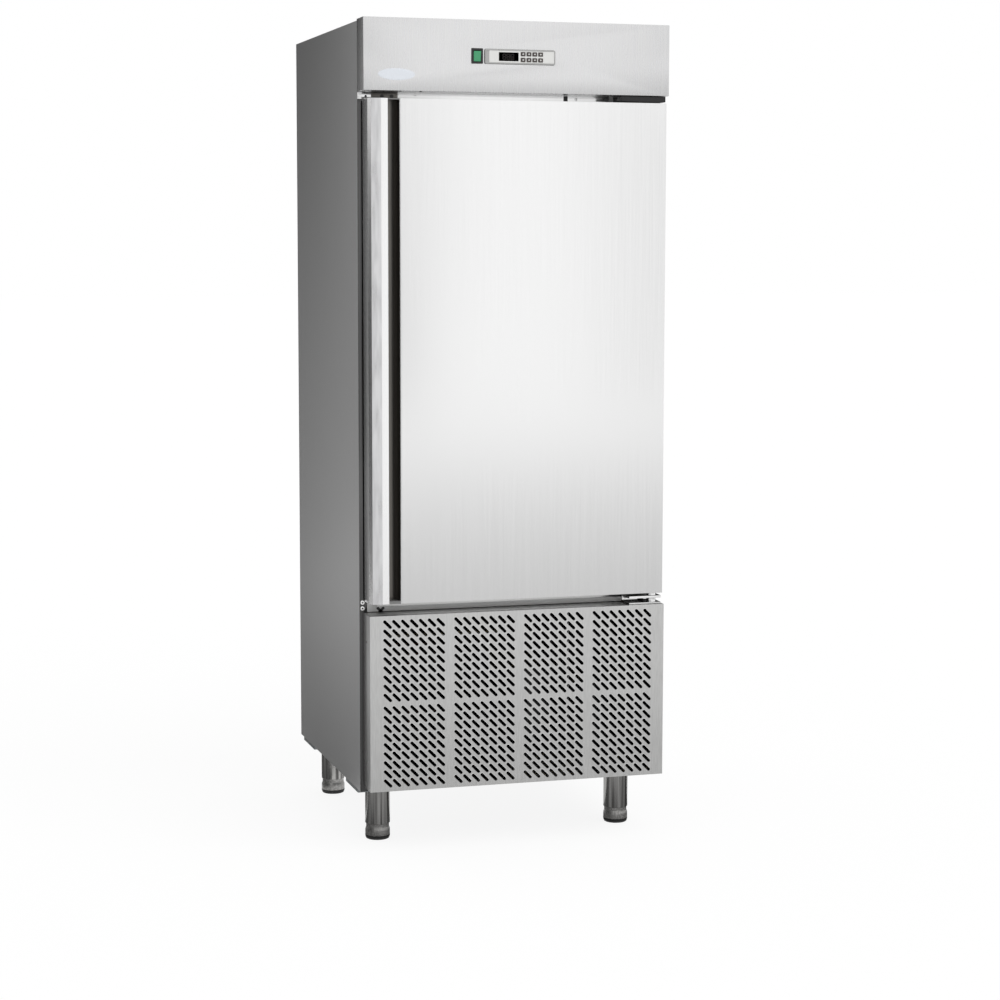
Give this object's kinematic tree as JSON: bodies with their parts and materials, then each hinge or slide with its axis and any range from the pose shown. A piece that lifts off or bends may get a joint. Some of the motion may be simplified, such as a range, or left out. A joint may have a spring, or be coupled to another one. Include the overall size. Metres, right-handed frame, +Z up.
{
  "type": "blast chiller",
  "caption": "Tall reach-in blast chiller: insulated stainless cabinet on legs, hinged door with full-height grip, control fascia and slotted service panel.",
  "frame": {"origin": "on the floor, under the middle of the cabinet's outline, controller keys included", "axes": "+Z up, -Y out of the front (door and controls), +X to the hinge side, the right of someone facing the door"},
  "size_m": [0.8, 0.8218, 2.104],
  "materials": {
    "stainless": "brushed stainless sheet",
    "stainless_dark": "plain stainless sheet and turned stainless",
    "galvanised": "galvanised sheet",
    "foam": "rigid polyurethane foam",
    "frame_plastic": "pale extruded plastic",
    "gasket_rubber": "soft magnetic gasket",
    "black_metal": "black coated steel",
    "black_plastic": "black moulded plastic",
    "green_plastic": "green translucent rocker",
    "silver_plastic": "silver-grey moulded plastic",
    "smoked_plastic": "dark smoked window",
    "fin_aluminium": "finned block",
    "black_paint": "black enamel"
  },
  "bodies": {
    "cabinet": {"side_panel_left": "stainless", "side_panel_right": "stainless", "control_fascia": "stainless", "grille_panel": "stainless", "grille_surround": "stainless", "liner_walls": "stainless", "liner_ceiling": "stainless", "liner_floor": "stainless", "tray_rack_left": "stainless", "tray_rack_right": "stainless", "evaporator_cover": "stainless", "back_panel": "stainless_dark", "top_panel": "stainless_dark", "rear_cover": "stainless_dark", "leg_front_left": "stainless_dark", "leg_front_right": "stainless_dark", "leg_rear_left": "stainless_dark", "leg_rear_right": "stainless_dark", "base_tray": "galvanised", "condenser_shroud": "galvanised", "electrical_box": "galvanised", "insulation_foam": "foam", "frame_stile_left": "frame_plastic", "frame_stile_right": "frame_plastic", "frame_rail_top": "frame_plastic", "frame_rail_bottom": "frame_plastic", "hinge_bracket_top": "black_metal", "hinge_bracket_bottom": "black_metal", "switch_frame": "black_plastic", "cable_gland": "black_plastic", "controller_housing": "silver_plastic", "display_window": "smoked_plastic", "evaporator_coil": "fin_aluminium", "condenser_coil": "fin_aluminium", "compressor": "black_paint", "liquid_receiver": "black_paint", "evaporator_fan_motor_upper": "black_paint", "evaporator_fan_motor_lower": "black_paint", "condenser_fan_motor": "black_paint"},
    "door": {"door_outer_skin": "stainless", "door_grip": "stainless", "door_foam": "foam", "door_inner_liner": "stainless", "door_gasket": "gasket_rubber"},
    "switch_rocker": {"switch_rocker": "green_plastic"},
    "evaporator_fan_upper": {"evaporator_fan_upper": "black_plastic"},
    "evaporator_fan_lower": {"evaporator_fan_lower": "black_plastic"},
    "condenser_fan": {"condenser_fan": "black_plastic"},
    "key_1": {"key_1": "silver_plastic"},
    "key_2": {"key_2": "silver_plastic"},
    "key_3": {"key_3": "silver_plastic"},
    "key_4": {"key_4": "silver_plastic"},
    "key_5": {"key_5": "silver_plastic"},
    "key_6": {"key_6": "silver_plastic"},
    "key_7": {"key_7": "silver_plastic"},
    "key_8": {"key_8": "silver_plastic"},
    "foot_front_left": {"foot_front_left": "stainless_dark"},
    "foot_front_right": {"foot_front_right": "stainless_dark"},
    "foot_rear_left": {"foot_rear_left": "stainless_dark"},
    "foot_rear_right": {"foot_rear_right": "stainless_dark"}
  },
  "joints": [
    {"name": "door_swing", "type": "hinge", "parent": "cabinet", "child": "door", "pos_m": [0.372, -0.3791, 0.645], "axis": [0, 0, 1], "range_deg": [0, 110]},
    {"name": "switch_tip", "type": "hinge", "parent": "cabinet", "child": "switch_rocker", "pos_m": [-0.1095, -0.4001, 2.015], "axis": [-1, 0, 0], "range_deg": [0, 16]},
    {"name": "key_1_press", "type": "slide", "parent": "cabinet", "child": "key_1", "axis": [0, 1, 0], "range_m": [0, 0.0008], "stiffness_N_per_m": 1000},
    {"name": "key_2_press", "type": "slide", "parent": "cabinet", "child": "key_2", "axis": [0, 1, 0], "range_m": [0, 0.0008], "stiffness_N_per_m": 1000},
    {"name": "key_3_press", "type": "slide", "parent": "cabinet", "child": "key_3", "axis": [0, 1, 0], "range_m": [0, 0.0008], "stiffness_N_per_m": 1000},
    {"name": "key_4_press", "type": "slide", "parent": "cabinet", "child": "key_4", "axis": [0, 1, 0], "range_m": [0, 0.0008], "stiffness_N_per_m": 1000},
    {"name": "key_5_press", "type": "slide", "parent": "cabinet", "child": "key_5", "axis": [0, 1, 0], "range_m": [0, 0.0008], "stiffness_N_per_m": 1000},
    {"name": "key_6_press", "type": "slide", "parent": "cabinet", "child": "key_6", "axis": [0, 1, 0], "range_m": [0, 0.0008], "stiffness_N_per_m": 1000},
    {"name": "key_7_press", "type": "slide", "parent": "cabinet", "child": "key_7", "axis": [0, 1, 0], "range_m": [0, 0.0008], "stiffness_N_per_m": 1000},
    {"name": "key_8_press", "type": "slide", "parent": "cabinet", "child": "key_8", "axis": [0, 1, 0], "range_m": [0, 0.0008], "stiffness_N_per_m": 1000},
    {"name": "evaporator_fan_upper_spin", "type": "hinge", "parent": "cabinet", "child": "evaporator_fan_upper", "pos_m": [0, 0.2178, 1.51625], "axis": [0, 1, 0], "continuous": true},
    {"name": "evaporator_fan_lower_spin", "type": "hinge", "parent": "cabinet", "child": "evaporator_fan_lower", "pos_m": [0, 0.2178, 1.03625], "axis": [0, 1, 0], "continuous": true},
    {"name": "condenser_fan_spin", "type": "hinge", "parent": "cabinet", "child": "condenser_fan", "pos_m": [-0.18, -0.1748, 0.3423], "axis": [0, 1, 0], "continuous": true},
    {"name": "foot_front_left_turn", "type": "hinge", "parent": "cabinet", "child": "foot_front_left", "pos_m": [-0.33, -0.2301, 0], "axis": [0, 0, 1], "continuous": true},
    {"name": "foot_front_right_turn", "type": "hinge", "parent": "cabinet", "child": "foot_front_right", "pos_m": [0.33, -0.2301, 0], "axis": [0, 0, 1], "continuous": true},
    {"name": "foot_rear_left_turn", "type": "hinge", "parent": "cabinet", "child": "foot_rear_left", "pos_m": [-0.33, 0.3079, 0], "axis": [0, 0, 1], "continuous": true},
    {"name": "foot_rear_right_turn", "type": "hinge", "parent": "cabinet", "child": "foot_rear_right", "pos_m": [0.33, 0.3079, 0], "axis": [0, 0, 1], "continuous": true}
  ]
}
